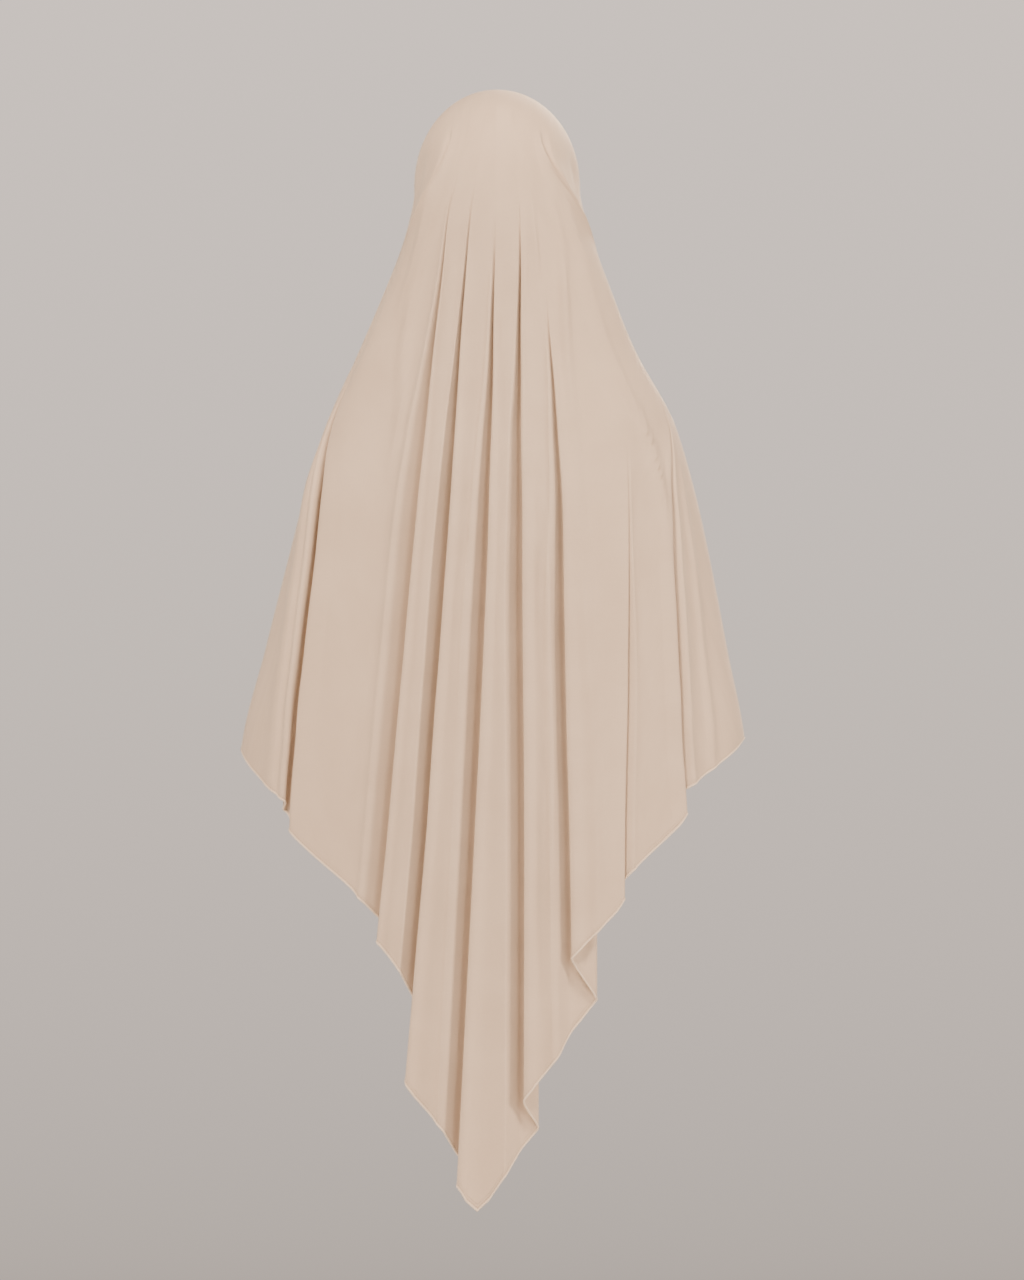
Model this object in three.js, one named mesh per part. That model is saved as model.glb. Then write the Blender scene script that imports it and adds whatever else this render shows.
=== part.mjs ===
// Khimar veil: a long pointed head veil of fine jersey, in the draped form that it has when worn.
// Millimetres. +X is the wearer's right, +Y the way the wearer faces, +Z up.
// The origin is on the inside of the crown, where the veil sits on the head.

import * as THREE from 'three';

const { lerp, clamp, degToRad, smoothstep } = THREE.MathUtils;

// Lengths, measured down from the crown
const backLength = 1200;
const sideLength = 702;
const frontLength = 690;
const shoulderDrop = 354;
const browDrop = 42;
const faceHeight = 184;

// Widths and depths of the form that the cloth hangs in
const faceWidth = 126;
const faceForward = 82;
const headWidth = 176;
const headDepth = 107;
const shoulderWidth = 370;
const hemSpread = 540;
const chestDepth = 154;
const backDepth = 155;

// The cloth and its turned edges
const wall = 1.4;
const hemWidth = 8;
const hemThickness = 2.8;
const seamGap = 0.4;
const sand = 0xd3c1b3;

// Rings of the hood, from the face opening over the crown to the shoulders. Each one is hung on the front line, the
// two side lines and the back line. "front" is a share of faceForward, "back" and "side" of headDepth, forward
// positive, and the drops are shares of shoulderDrop. "width" goes from 0 at half headWidth to 1 at half
// shoulderWidth, and "swell" fills the ring out between the lines.
const hoodRings = [
  { front: 0.92, frontDrop: 0.655, back: 0.58, backDrop: 0.034, width: -0.1, side: 0.41, sideDrop: 0.33, swell: 0.01 },
  { front: 0.91, frontDrop: 0.672, back: 0.22, backDrop: 0, width: -0.03, side: 0.21, sideDrop: 0.28, swell: 0 },
  { front: 0.9, frontDrop: 0.689, back: -0.19, backDrop: 0, width: 0, side: 0.04, sideDrop: 0.282, swell: 0 },
  { front: 0.9, frontDrop: 0.706, back: -0.58, backDrop: 0.058, width: 0.01, side: -0.07, sideDrop: 0.316, swell: 0 },
  { front: 0.92, frontDrop: 0.726, back: -0.87, backDrop: 0.177, width: 0.06, side: -0.13, sideDrop: 0.381, swell: 0.01 },
  { front: 0.95, frontDrop: 0.751, back: -1, backDrop: 0.345, width: 0.17, side: -0.17, sideDrop: 0.486, swell: 0.01 },
  { front: 1, frontDrop: 0.791, back: -1.055, backDrop: 0.537, width: 0.38, side: -0.19, sideDrop: 0.636, swell: 0.01 },
  { front: 1.13, frontDrop: 0.864, back: -1.12, backDrop: 0.749, width: 0.64, side: -0.15, sideDrop: 0.805, swell: 0 },
];

// Level rings below. "down" goes from 0 at the shoulders to 1 at the back point, "front" and "back" are shares of
// chestDepth and backDepth, "width" goes from 0 at half shoulderWidth to 1 at half hemSpread, and "sway" is a share
// of half hemSpread to the right.
const skirtRings = [
  { down: 0, front: 0.74, back: 0.85, width: 0, sway: 0.006 },
  { down: 0.084, front: 0.9, back: 0.915, width: 0.26, sway: 0.004 },
  { down: 0.173, front: 0.96, back: 0.95, width: 0.47, sway: 0 },
  { down: 0.291, front: 0.985, back: 0.975, width: 0.73, sway: -0.011 },
  { down: 0.417, front: 1, back: 1, width: 1, sway: -0.022 },
  { down: 0.586, front: 1.015, back: 1.025, width: 1.07, sway: -0.022 },
  { down: 0.787, front: 1.03, back: 1.045, width: 1.1, sway: -0.022 },
  { down: 1, front: 1.04, back: 1.06, width: 1.12, sway: -0.022 },
];
const headSway = -0.008; // how far the head lies to the right, as a share of half hemSpread
const sideLean = -0.05; // where the side lines hang, as a share of backDepth

// Folds of the back, from the left side to the right. "head", "shoulder", "waist" and "hem" are where the fold's
// edge runs, as shares of the half width there. "start" is where the fold begins, and "under" and "edge" how low
// the hem hangs where it goes under and on the edge, all as shares of backLength. "lap" and "depth" are shares of
// foldSize.
const foldSize = 20;
const backFolds = [
  { name: 'left_shoulder', faces: 'left', head: -0.88, shoulder: -0.93, waist: -0.819, hem: -0.793, start: 0.27, lap: 0.6, depth: 0.75, under: 0.637, edge: 0.668 },
  { name: 'left_outer', faces: 'left', head: -0.56, shoulder: -0.438, waist: -0.419, hem: -0.451, start: 0.08, lap: 0.9, depth: 0.9, under: 0.739, edge: 0.759 },
  { name: 'left_inner', faces: 'left', head: -0.33, shoulder: -0.27, waist: -0.252, hem: -0.34, start: 0.1, lap: 1, depth: 1, under: 0.821, edge: 0.888 },
  { name: 'left_middle', faces: 'left', head: -0.05, shoulder: -0.061, waist: -0.062, hem: -0.14, start: 0.14, lap: 0.7, depth: 0.8, under: 0.953, edge: 0.975 },
  { name: 'back_point', faces: 'none', head: 0.08, shoulder: 0.01, waist: 0.01, hem: -0.059, edge: 1 },
  { name: 'right_middle', faces: 'left', head: 0.24, shoulder: 0.107, waist: 0.11, hem: 0.121, start: 0.12, lap: 0.8, depth: 0.9, under: 0.924, edge: 0.902 },
  { name: 'right_inner', faces: 'left', head: 0.42, shoulder: 0.316, waist: 0.292, hem: 0.307, start: 0.16, lap: 1.5, depth: 1, under: 0.811, edge: 0.777 },
  { name: 'right_outer', faces: 'right', head: 0.62, shoulder: 0.68, waist: 0.557, hem: 0.507, start: 0.3, lap: 0.45, depth: 0.85, under: 0.712, edge: 0.728 },
  { name: 'right_shoulder', faces: 'right', head: 0.86, shoulder: 0.93, waist: 0.776, hem: 0.765, start: 0.28, lap: 0.7, depth: 0.95, under: 0.626, edge: 0.652 },
];

// Folds of one side of the front, mirrored for the other side. Their places are degrees round the ring, from 0 at the
// middle of the back to 180 at the middle of the front, and "edge" goes from 0 at the side corner's drop to 1 at
// the front's.
const frontFolds = [
  { name: 'side_corner', faces: 'none', head: 84, shoulder: 88, waist: 88, hem: 88, edge: 0 },
  { name: 'temple', faces: 'soft', head: 104, shoulder: 108, waist: 107, hem: 106, start: 0.16, depth: 0.5, edge: 0.4 },
  { name: 'breast', faces: 'soft', head: 128, shoulder: 131, waist: 130, hem: 129, start: 0.24, depth: 0.7, edge: 0.7 },
  { name: 'chin', faces: 'soft', head: 152, shoulder: 155, waist: 154, hem: 153, start: 0.2, depth: 0.7, edge: 0.9 },
];

// The sections through a fold, along the cloth. "from" and "to" are its places across, as shares of foldReach,
// before and after the fold forms, "lap" and "depth" its shares of the fold's lap and depth, and "hem" goes from 0
// at the fold's "under" to 1 at its "edge".
const foldReach = 14;
const lappedSection = [
  { from: -1, to: -1, lap: 0, depth: 0.1, hem: -0.3 },
  { from: -0.62, to: -0.35, lap: 0, depth: -0.4, hem: -0.1 },
  { from: -0.25, to: 0.2, lap: 0.2, depth: -0.85, hem: 0 },
  { from: -0.05, to: 0, lap: 0.9, depth: -0.85, hem: 0 },
  { from: 0.12, to: 0, lap: 0.85, depth: -0.55, hem: 0.3 },
  { from: 0.3, to: 0.05, lap: 0.15, depth: -0.25, hem: 0.8 },
  { from: 0.5, to: 0, lap: 0, depth: 0.05, hem: 1 },
  { from: 1, to: 1, lap: 0, depth: 0.25, hem: 1 },
];
const softSection = [
  { from: -2, to: -2, lap: 0, depth: 0.25, hem: 1 },
  { from: -0.9, to: -0.9, lap: 0, depth: 0, hem: 1 },
  { from: 0, to: 0, lap: 0, depth: -0.75, hem: 1 },
  { from: 0.9, to: 0.9, lap: 0, depth: 0, hem: 1 },
  { from: 2, to: 2, lap: 0, depth: 0.25, hem: 1 },
];
const foldLength = 0.24; // how much of backLength a fold takes to form
const headKnot = 0.1; // the drops of the fold table's "head" and "waist", as shares of backLength
const waistKnot = 0.51;

// Rows of the cloth: levels of the hood rings, then shares of the way from the shoulders to the hem
const hoodLevels = [0, 0.7, 1.4, 2.1, 2.8, 3.5, 4.3, 5.1, 6, 7, 8];
const skirtShares = [0, 0.12, 0.25, 0.4, 0.56, 0.71, 0.86, 1];
const mostSlant = 1.6; // the most that the turned hem is lengthened where it runs steeply
const panelStep = 52; // the widest panel that is left as one strip of cloth

// The lines that the rings are hung on
function guideLines() {
  const chinDrop = browDrop + faceHeight;
  const rings = [{
    front: [faceForward, -chinDrop],
    back: [faceForward, -browDrop],
    side: [faceForward * 0.73, -(browDrop + chinDrop) / 2],
    half: faceWidth / 2,
    swell: 0.02,
    sway: headSway * hemSpread / 2,
  }];
  for (const ring of hoodRings) {
    rings.push({
      front: [ring.front * faceForward, -ring.frontDrop * shoulderDrop],
      back: [ring.back * headDepth, -ring.backDrop * shoulderDrop],
      side: [ring.side * headDepth, -ring.sideDrop * shoulderDrop],
      half: lerp(headWidth, shoulderWidth, ring.width) / 2,
      swell: ring.swell,
      sway: headSway * hemSpread / 2,
    });
  }
  for (const ring of skirtRings) {
    const height = -lerp(shoulderDrop, backLength, ring.down);
    rings.push({
      front: [ring.front * chestDepth, height],
      back: [-ring.back * backDepth, height],
      side: [sideLean * backDepth, height],
      half: lerp(shoulderWidth, hemSpread, ring.width) / 2,
      swell: 0,
      sway: ring.sway * hemSpread / 2,
    });
  }
  const curve = (pick) => new THREE.CatmullRomCurve3(rings.map(pick), false, 'catmullrom', 0.5);
  return {
    front: curve((ring) => new THREE.Vector3(0, ...ring.front)),
    back: curve((ring) => new THREE.Vector3(0, ...ring.back)),
    side: curve((ring) => new THREE.Vector3(ring.half, ...ring.side)),
    trim: curve((ring) => new THREE.Vector3(ring.sway, ring.swell, 0)),
    last: rings.length - 1,
  };
}

const guides = guideLines();
const shoulderLevel = hoodRings.length + 1;

// The ring at a level, counted in rings from the face opening
function ringAt(level) {
  const share = clamp(level / guides.last, 0, 1);
  const side = guides.side.getPoint(share);
  const trim = guides.trim.getPoint(share);
  const middle = new THREE.Vector3(0, side.y, side.z);
  return {
    centre: new THREE.Vector3(trim.x, side.y, side.z),
    front: guides.front.getPoint(share).sub(middle),
    back: guides.back.getPoint(share).sub(middle),
    half: side.x,
    swell: trim.y,
  };
}

// A point of the smooth form, at an angle round the ring from the middle of the back
function formPoint(ring, angle) {
  const swell = 1 + ring.swell * Math.sin(2 * angle) ** 2;
  const lengthwise = Math.cos(angle) > 0 ? ring.back : ring.front;
  return new THREE.Vector3(ring.half * Math.sin(angle) * swell, 0, 0)
    .addScaledVector(lengthwise, Math.abs(Math.cos(angle)) * swell)
    .add(ring.centre);
}

// How far the cloth goes for each radian round the ring
function speedAt(ring, angle) {
  const step = 0.02;
  return formPoint(ring, angle + step).distanceTo(formPoint(ring, angle - step)) / (2 * step);
}

// The same point, moved out from the form
function clothPoint(ring, angle, out) {
  const step = 0.02;
  const point = formPoint(ring, angle);
  const along = formPoint(ring, angle + step).sub(formPoint(ring, angle - step)).normalize();
  const outward = point.clone().sub(ring.centre);
  outward.addScaledVector(along, -outward.dot(along)).normalize();
  return point.addScaledVector(outward, out);
}

// The level below the shoulders that lies at a height
function levelAt(height) {
  let low = shoulderLevel;
  let high = guides.last;
  for (let turn = 0; turn < 24; turn += 1) {
    const middle = (low + high) / 2;
    if (guides.back.getPoint(middle / guides.last).z > height) low = middle;
    else high = middle;
  }
  return (low + high) / 2;
}

// Where a fold's edge runs at a height
function placeAt(fold, height, hemHeight) {
  const knots = [
    [-headKnot * backLength, fold.head],
    [-shoulderDrop, fold.shoulder],
    [Math.max(-waistKnot * backLength, hemHeight + 1), fold.waist],
    [hemHeight, fold.hem],
  ];
  for (let i = 1; i < knots.length; i += 1) {
    const [above, placeAbove] = knots[i - 1];
    const [below, placeBelow] = knots[i];
    if (height >= below) return lerp(placeAbove, placeBelow, clamp((height - above) / (below - above), 0, 1));
  }
  return fold.hem;
}

// One column of cloth for each point of a fold's section. A column gives its angle and how far out it lies.
function foldColumns(fold, angleOf, underHeight, edgeHeight) {
  const sections = { left: lappedSection, right: lappedSection, soft: softSection };
  if (!sections[fold.faces]) {
    return [{ hem: edgeHeight, at: (ring, height) => [angleOf(placeAt(fold, height, edgeHeight)), 0] }];
  }
  const turn = fold.faces === 'right' ? -1 : 1;
  const columns = sections[fold.faces].map((point) => ({
    hem: lerp(underHeight, edgeHeight, point.hem),
    at: (ring, height) => {
      const drop = -height / backLength;
      const growth = smoothstep(drop, fold.start, fold.start + foldLength);
      const reach = foldReach * Math.min(1, 2 * ring.half / shoulderWidth);
      const lap = point.lap * (fold.lap ?? 0) * foldSize;
      const across = lerp(point.from * reach, point.to * reach + lap, growth);
      const angle = angleOf(placeAt(fold, height, edgeHeight));
      return [angle + turn * across / speedAt(ring, angle), point.depth * fold.depth * foldSize * growth];
    },
  }));
  return turn > 0 ? columns : columns.reverse();
}

// Columns of the plain cloth between two folds
function panelColumns(before, after) {
  const height = -waistKnot * backLength;
  const ring = ringAt(levelAt(height));
  const [first] = before.at(ring, height);
  let [last] = after.at(ring, height);
  if (last < first) last += 2 * Math.PI;
  const width = formPoint(ring, first).distanceTo(formPoint(ring, last));
  const count = Math.max(Math.ceil(width / panelStep), 1);
  const columns = [];
  for (let i = 1; i < count; i += 1) {
    const share = i / count;
    columns.push({
      hem: lerp(before.hem, after.hem, share),
      at: (at, where) => {
        const [start, startOut] = before.at(at, where);
        let [end, endOut] = after.at(at, where);
        if (end < start) end += 2 * Math.PI;
        return [lerp(start, end, share), lerp(startOut, endOut, share)];
      },
    });
  }
  return columns;
}

function allColumns() {
  const groups = backFolds.map((fold) => {
    const edge = -fold.edge * backLength;
    const under = -(fold.under ?? fold.edge) * backLength;
    return foldColumns(fold, (place) => Math.asin(clamp(place, -0.99, 0.99)), under, edge);
  });
  for (const fold of frontFolds) {
    const edge = -lerp(sideLength, frontLength, fold.edge);
    const right = foldColumns(fold, (place) => degToRad(place), edge, edge);
    const left = foldColumns(fold, (place) => -degToRad(place), edge, edge);
    groups.push(right);
    groups.unshift(left);
  }
  groups.push([{ hem: -frontLength, at: () => [Math.PI, 0] }]);
  const columns = [];
  groups.forEach((group, i) => {
    const next = groups[(i + 1) % groups.length];
    columns.push(...group, ...panelColumns(group[group.length - 1], next[0]));
  });
  return columns;
}

// The point where a column hangs at a height below the shoulders
function skirtPoint(column, height) {
  const ring = ringAt(levelAt(height));
  const [angle, out] = column.at(ring, height);
  return clothPoint(ring, angle, out).setZ(height);
}

// How much longer than its width the turned hem is down each column, because the hem runs on a slant
function hemSlants(columns) {
  const edge = columns.map((column) => skirtPoint(column, column.hem));
  const count = edge.length;
  const slants = edge.map((point, j) => {
    const before = edge[(j + count - 1) % count];
    const after = edge[(j + 1) % count];
    const level = Math.hypot(point.x - before.x, point.y - before.y) + Math.hypot(after.x - point.x, after.y - point.y);
    return Math.min(Math.hypot(1, (after.z - before.z) / level), mostSlant);
  });
  return slants.map((slant, j) => (slants[(j + count - 1) % count] + slant * 2 + slants[(j + 1) % count]) / 4);
}

// The middle surface of the cloth, as rows of points from the face opening to the hem
function clothRows(columns, slant) {
  const rows = hoodLevels.map((level) => {
    const ring = ringAt(level);
    return columns.map((column) => {
      const [guess] = column.at(ring, ring.centre.z);
      const [angle, out] = column.at(ring, formPoint(ring, guess).z);
      return clothPoint(ring, angle, out);
    });
  });
  for (const share of skirtShares) {
    rows.push(columns.map((column, j) => {
      const edge = column.hem + (hemWidth + seamGap) * slant[j];
      return skirtPoint(column, lerp(-shoulderDrop, edge, share));
    }));
  }
  return rows;
}

// The way out from the cloth at one of its points
function outwardAt(rows, i, j) {
  const count = rows[i].length;
  const around = rows[i][(j + 1) % count].clone().sub(rows[i][(j + count - 1) % count]);
  const down = rows[Math.min(i + 1, rows.length - 1)][j].clone().sub(rows[Math.max(i - 1, 0)][j]);
  return around.cross(down).negate().normalize();
}

// A closed sheet with a wall, from rows of points and the thickness of each row
function sheet(rows, thickness) {
  const count = rows[0].length;
  const positions = [];
  const index = [];
  for (const side of [1, -1]) {
    rows.forEach((row, i) => row.forEach((point, j) => {
      const moved = point.clone().addScaledVector(outwardAt(rows, i, j), side * thickness[i] / 2);
      positions.push(moved.x, moved.y, moved.z);
    }));
  }
  const inner = rows.length * count;
  const quad = (a, b, c, d) => index.push(a, b, c, a, c, d);
  for (let j = 0; j < count; j += 1) {
    const next = (j + 1) % count;
    for (let i = 0; i + 1 < rows.length; i += 1) {
      const [a, b, c, d] = [i * count + j, (i + 1) * count + j, (i + 1) * count + next, i * count + next];
      quad(a, b, c, d);
      quad(inner + a, inner + d, inner + c, inner + b);
    }
    const low = (rows.length - 1) * count;
    quad(j, next, inner + next, inner + j);
    quad(low + j, inner + low + j, inner + low + next, low + next);
  }
  const geometry = new THREE.BufferGeometry();
  geometry.setAttribute('position', new THREE.Float32BufferAttribute(positions, 3));
  geometry.setIndex(index);
  geometry.computeVertexNormals();
  return geometry;
}

// The turned hem goes on down the same columns
function hemBand(columns, slant) {
  return [1, 0.5, 0].map((share) => columns.map((column, j) => {
    return skirtPoint(column, column.hem + share * hemWidth * slant[j]);
  }));
}

// The turned edge of the face opening goes on from the first row, square to it
function faceBand(edge, beside) {
  const count = edge.length;
  return [1, 0.5, 0].map((share) => edge.map((point, j) => {
    const around = edge[(j + 1) % count].clone().sub(edge[(j + count - 1) % count]).normalize();
    const onward = point.clone().sub(beside[j]);
    onward.addScaledVector(around, -onward.dot(around)).normalize();
    return point.clone().addScaledVector(onward, seamGap + share * hemWidth);
  }));
}

const columns = allColumns();
const slant = hemSlants(columns);
const rows = clothRows(columns, slant);
const hemRows = hemBand(columns, slant);
const faceRows = faceBand(rows[0], rows[1]);
const hemWalls = [wall, hemThickness, hemThickness * 0.75];

const jersey = new THREE.MeshStandardMaterial({ name: 'sand_jersey', color: sand, roughness: 0.82, metalness: 0 });
const turnedJersey = new THREE.MeshStandardMaterial({ name: 'turned_hem', color: sand, roughness: 0.78, metalness: 0 });

function piece(name, geometry, material) {
  const mesh = new THREE.Mesh(geometry, material);
  mesh.name = name;
  return mesh;
}

const khimar = new THREE.Group();
khimar.name = 'khimar_veil';
khimar.add(piece('veil', sheet(rows, rows.map(() => wall)), jersey));
khimar.add(piece('bottom_hem', sheet(hemRows, hemWalls), turnedJersey));
khimar.add(piece('face_hem', sheet(faceRows, hemWalls), turnedJersey));

export default khimar;
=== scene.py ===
# Khimar veil: the looks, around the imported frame. The wearer faces +Y, so the camera looks at the back.
import math

import bmesh
import bpy
import numpy as np
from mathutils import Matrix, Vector


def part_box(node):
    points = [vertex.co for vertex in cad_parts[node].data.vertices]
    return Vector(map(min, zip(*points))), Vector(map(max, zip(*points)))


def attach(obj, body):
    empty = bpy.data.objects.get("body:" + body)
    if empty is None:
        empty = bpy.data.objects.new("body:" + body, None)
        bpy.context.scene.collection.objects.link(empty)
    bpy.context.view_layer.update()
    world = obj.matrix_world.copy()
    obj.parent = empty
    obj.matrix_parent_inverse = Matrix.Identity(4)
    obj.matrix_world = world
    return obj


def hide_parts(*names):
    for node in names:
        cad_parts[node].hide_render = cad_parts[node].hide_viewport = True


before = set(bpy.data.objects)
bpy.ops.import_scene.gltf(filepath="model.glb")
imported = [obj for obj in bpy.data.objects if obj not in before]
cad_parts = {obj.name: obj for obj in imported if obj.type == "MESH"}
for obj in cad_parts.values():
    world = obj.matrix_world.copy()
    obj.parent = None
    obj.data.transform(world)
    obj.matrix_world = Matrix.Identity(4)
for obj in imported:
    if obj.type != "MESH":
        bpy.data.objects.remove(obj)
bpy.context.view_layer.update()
backLength = -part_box("bottom_hem")[0].z
backMm = 1200  # the back's length in the mm of this script, which mm turns into the frame's metres
mm = backLength / backMm
uvScale = 0.001  # metres of cloth for each mm, so that the knit keeps its size
print("frame loaded, back length", round(backLength, 4))

# Form: the smooth shape that the cloth hangs in, as rings from the face opening over the crown to the hem.
# Lengths in mm, each list a column with one value per ring.
form = {
    "chinDrop": 226, "browDrop": 42, "faceForward": 82, "faceWidth": 126,
    "headDepth": 107, "headWidth": 176, "shoulderDrop": 354, "shoulderWidth": 370,
    "chestDepth": 154, "backDepth": 155, "hemSpread": 540, "sideLean": -0.05, "headSway": -0.008,
}
hoodRings = {
    "front": [0.92, 0.91, 0.9, 0.9, 0.92, 0.95, 1, 1.13],
    "frontDrop": [0.655, 0.672, 0.689, 0.706, 0.726, 0.751, 0.791, 0.864],
    "back": [0.58, 0.22, -0.19, -0.58, -0.87, -1, -1.055, -1.12],
    "backDrop": [0.034, 0.005, 0.005, 0.058, 0.177, 0.345, 0.537, 0.749],
    "width": [-0.1, -0.03, 0, 0.01, 0.06, 0.17, 0.38, 0.64],
    "side": [0.41, 0.21, 0.04, -0.07, -0.13, -0.17, -0.19, -0.15],
    "sideDrop": [0.33, 0.28, 0.282, 0.316, 0.381, 0.486, 0.636, 0.805],
    "swell": [0.01, 0, 0, 0, 0.01, 0.01, 0.01, 0],
}
skirtRings = {
    "down": [0, 0.084, 0.173, 0.291, 0.417, 0.586, 0.787, 1],
    "front": [0.74, 0.9, 0.96, 0.985, 1, 1.015, 1.03, 1.04],
    "back": [0.85, 0.915, 0.95, 0.975, 1, 1.025, 1.045, 1.06],
    "width": [0, 0.26, 0.47, 0.73, 1, 1.07, 1.1, 1.12],
    "sway": [0.006, 0.004, 0, -0.011, -0.022, -0.022, -0.022, -0.022],
}


def mix(a, b, share):
    return a + (b - a) * share


def smooth(value, start, end):
    t = np.clip((value - start) / (end - start), 0, 1)
    return t * t * (3 - 2 * t)


def guideTable():
    # Columns: front y, front z, back y, back z, side y, side z, half width, sway, swell
    f = form
    hood = {name: np.array(values) for name, values in hoodRings.items()}
    skirt = {name: np.array(values) for name, values in skirtRings.items()}
    sway = f["headSway"] * f["hemSpread"] / 2
    first = [[f["faceForward"], -f["chinDrop"], f["faceForward"], -f["browDrop"], f["faceForward"] * 0.73,
              -(f["browDrop"] + f["chinDrop"]) / 2, f["faceWidth"] / 2, sway, 0.02]]
    count = len(hood["front"])
    upper = np.stack([
        hood["front"] * f["faceForward"], -hood["frontDrop"] * f["shoulderDrop"],
        hood["back"] * f["headDepth"], -hood["backDrop"] * f["shoulderDrop"],
        hood["side"] * f["headDepth"], -hood["sideDrop"] * f["shoulderDrop"],
        mix(f["headWidth"], f["shoulderWidth"], hood["width"]) / 2, np.full(count, sway), hood["swell"],
    ], axis=1)
    height = -mix(f["shoulderDrop"], backMm, skirt["down"])
    lower = np.stack([
        skirt["front"] * f["chestDepth"], height, -skirt["back"] * f["backDepth"], height,
        np.full(len(height), f["sideLean"] * f["backDepth"]), height,
        mix(f["shoulderWidth"], f["hemSpread"], skirt["width"]) / 2,
        skirt["sway"] * f["hemSpread"] / 2, np.zeros(len(height)),
    ], axis=1)
    return np.concatenate([first, upper, lower])


guides = guideTable()
shoulderLevel = len(hoodRings["front"]) + 1
lastLevel = len(guides) - 1


def spline(table, at):
    # A smooth curve through the rows of a table, at places counted in rows
    at = np.clip(at, 0, len(table) - 1)
    padded = np.concatenate([[2 * table[0] - table[1]], table, [2 * table[-1] - table[-2]]])
    i = np.minimum(at.astype(int), len(table) - 2)
    t = (at - i)[..., None]
    a, b, c, d = (padded[i + k] for k in range(4))
    return 0.5 * (2 * b + (c - a) * t + (2 * a - 5 * b + 4 * c - d) * t**2 + (3 * b - a - 3 * c + d) * t**3)


fineLevels = np.linspace(shoulderLevel, lastLevel, 400)
fineHeights = spline(guides, fineLevels)[:, 3]


def levelAt(height):
    return np.interp(-height, -fineHeights, fineLevels)


def dropOf(height):
    # How far down a height lies, as a share of the back's length
    return -height / backMm


def formPoint(level, angle):
    g = spline(guides, level)
    sine, cosine = np.sin(angle), np.cos(angle)
    fill = 1 + g[..., 8] * np.sin(2 * angle) ** 2
    soft = np.hypot(cosine, 0.14)
    backShare, frontShare = (soft + cosine) / 2 * fill, (soft - cosine) / 2 * fill
    y = g[..., 4] + (g[..., 2] - g[..., 4]) * backShare + (g[..., 0] - g[..., 4]) * frontShare
    z = g[..., 5] + (g[..., 3] - g[..., 5]) * backShare + (g[..., 1] - g[..., 5]) * frontShare
    return np.stack([g[..., 7] + g[..., 6] * sine * fill, y, z], axis=-1)


def clothPoint(level, angle, out):
    point = formPoint(level, angle)
    along = formPoint(level, angle + 0.01) - formPoint(level, angle - 0.01)
    along /= np.linalg.norm(along, axis=-1, keepdims=True)
    g = spline(guides, level)
    outward = point - np.stack([g[..., 7], g[..., 4], g[..., 5]], axis=-1)
    outward -= along * (outward * along).sum(-1, keepdims=True)
    outward /= np.linalg.norm(outward, axis=-1, keepdims=True)
    return point + outward * out[..., None]


def speedAt(level, angle):
    return np.linalg.norm(formPoint(level, angle + 0.02) - formPoint(level, angle - 0.02), axis=-1) / 0.04


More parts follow.
